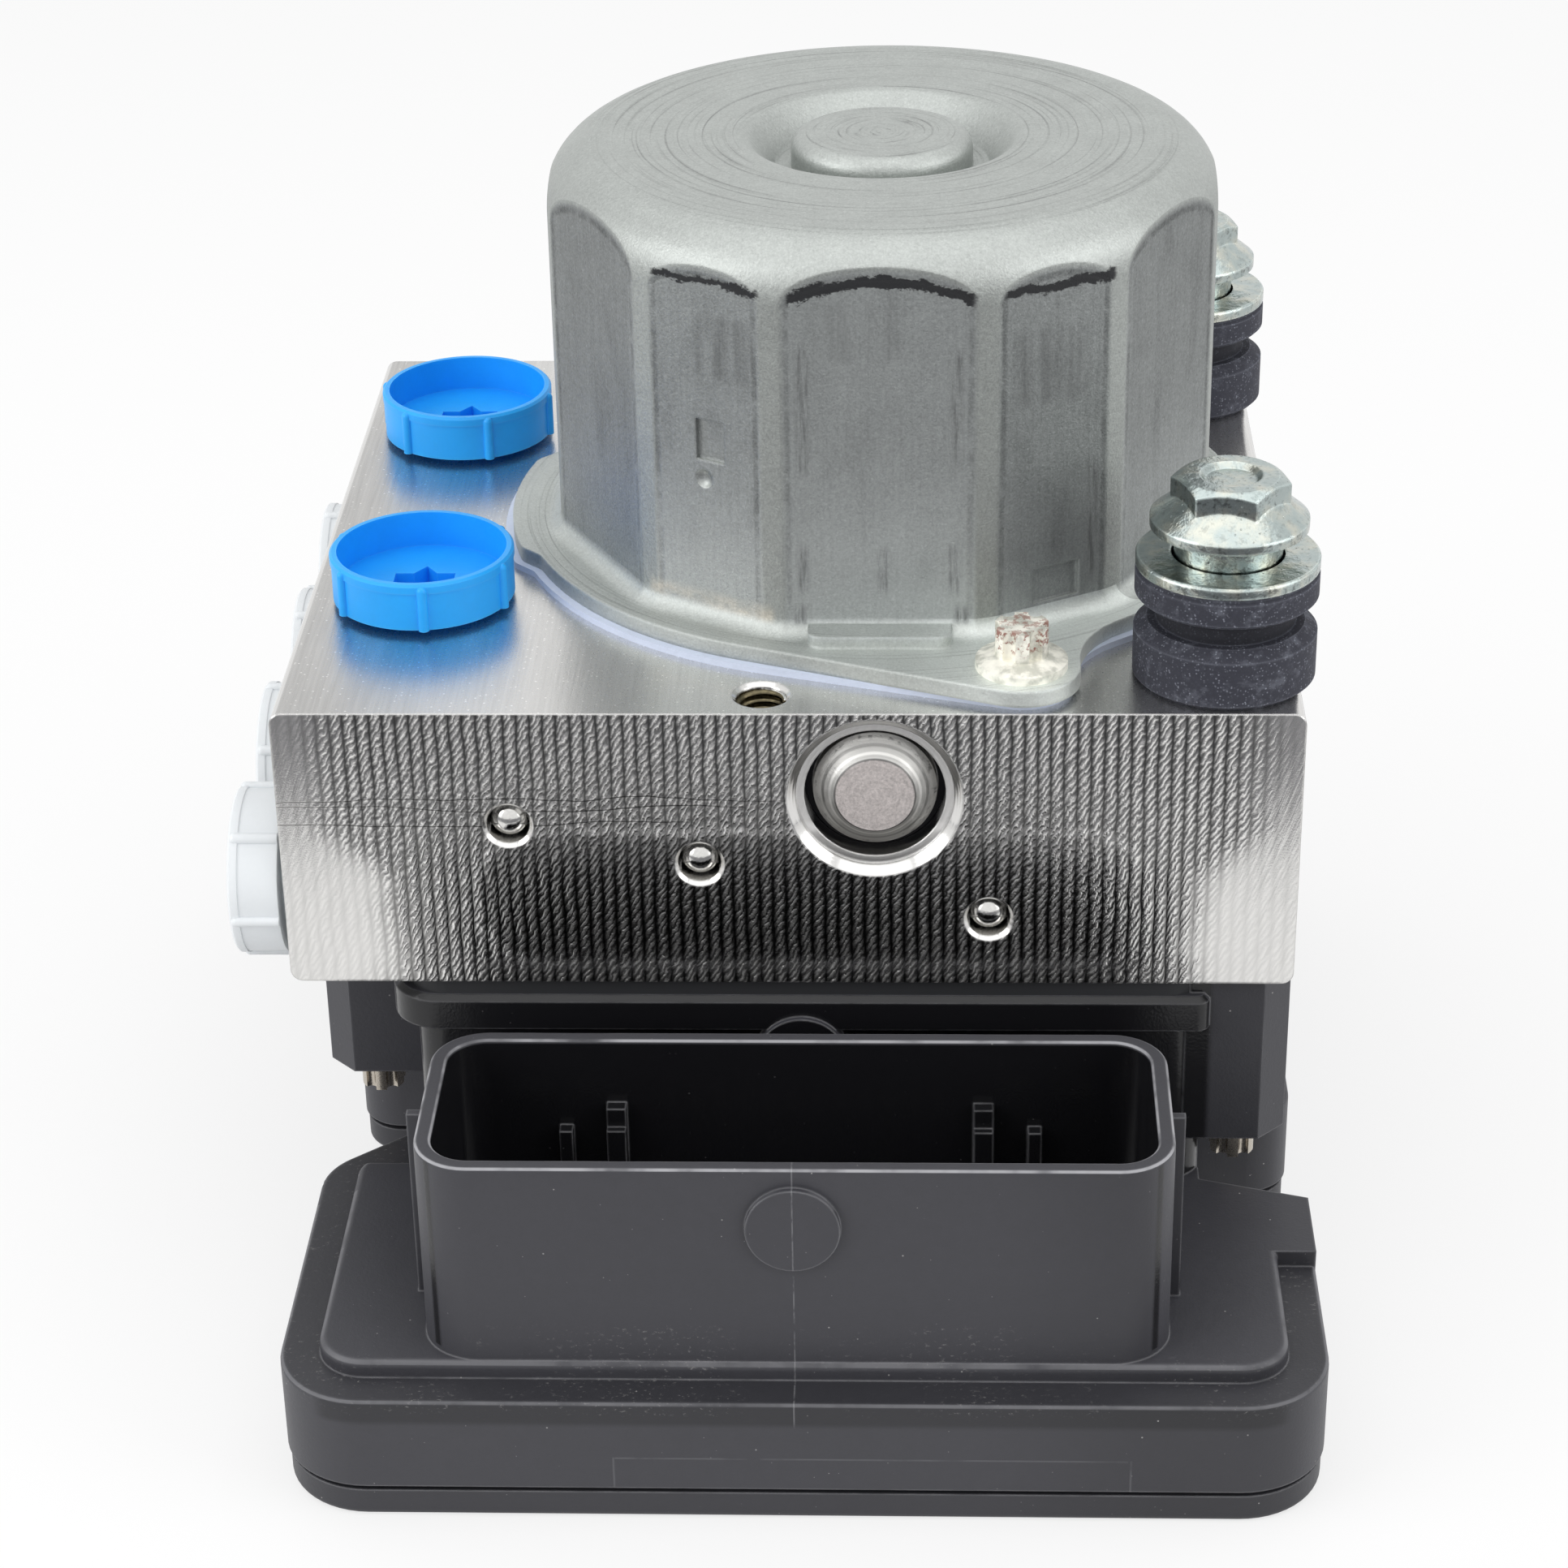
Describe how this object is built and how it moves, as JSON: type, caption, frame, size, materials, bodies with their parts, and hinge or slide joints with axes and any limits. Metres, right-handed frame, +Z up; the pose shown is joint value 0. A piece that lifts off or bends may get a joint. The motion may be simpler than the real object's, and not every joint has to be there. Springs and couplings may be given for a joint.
{
  "type": "anti-lock brake hydraulic unit",
  "caption": "Anti-lock brake unit: milled valve block with a pump motor on top, rubber mountings, capped ports and an electronic control unit with a connector below.",
  "frame": {"origin": "on the resting plane (underside of the control unit's cover), below the centre of the valve block", "axes": "+Z up along the motor shaft, +Y from the connector towards the rear, +X to the side with the rubber mountings"},
  "size_m": [0.1307, 0.1548, 0.135],
  "materials": {
    "milled_aluminium": "milled, with tool marks",
    "zinc_plated_can": "satin zinc-plated drawn steel",
    "gasket_film": "pale coated gasket",
    "plated_screw": "plated, slightly corroded",
    "steel": "ground steel",
    "magnet": "sintered ferrite",
    "moulded_plastic": "moulded",
    "carbon": "pressed carbon",
    "laminations": "stamped laminations",
    "copper": "enamelled copper",
    "blue_cap": "satin moulded",
    "white_cap": "translucent moulded",
    "rubber": "dusty rubber",
    "zinc_bright": "bright zinc",
    "housing_plastic": "glass-filled, moulded",
    "seal": "elastomer",
    "board": "solder resist",
    "contact": "plated contacts"
  },
  "bodies": {
    "unit": {"valve_block": "milled_aluminium", "motor_housing": "zinc_plated_can", "motor_gasket": "gasket_film", "motor_screws": "plated_screw", "motor_end_plate": "steel", "lower_bearing": "steel", "upper_bearing": "steel", "nose_bearing": "steel", "motor_magnets": "magnet", "brush_holder": "moulded_plastic", "motor_brushes": "carbon", "pump_plugs": "steel", "pump_cylinders": "steel", "pump_pistons": "steel", "pump_springs": "steel", "ball_plugs": "steel", "isolators": "rubber", "isolator_sleeves": "zinc_bright", "isolator_washers": "zinc_bright", "mounting_bolts": "zinc_bright", "ecu_housing": "housing_plastic", "ecu_cover": "housing_plastic", "cover_seal": "seal", "block_seal": "seal", "ecu_screws": "zinc_bright", "circuit_board": "board", "connector_pins": "contact", "valve_cartridges": "steel", "solenoid_coils": "moulded_plastic", "pressure_sensor": "steel", "motor_lead": "moulded_plastic", "accumulator_caps": "steel", "inlet_cap_front": "blue_cap", "inlet_cap_rear": "blue_cap", "accumulator_piston_front": "milled_aluminium", "accumulator_piston_rear": "milled_aluminium", "accumulator_spring_front": "steel", "accumulator_spring_rear": "steel", "outlet_cap_1": "white_cap", "outlet_cap_2": "white_cap", "outlet_cap_3": "white_cap", "outlet_cap_4": "white_cap"},
    "rotor": {"rotor_shaft": "steel", "eccentric_ring": "steel", "armature_core": "laminations", "armature_windings": "copper", "commutator": "copper"}
  },
  "joints": [
    {"name": "rotor_spin", "type": "hinge", "parent": "unit", "child": "rotor", "pos_m": [0.0108, 0, 0], "axis": [0, 0, 1], "continuous": true}
  ]
}
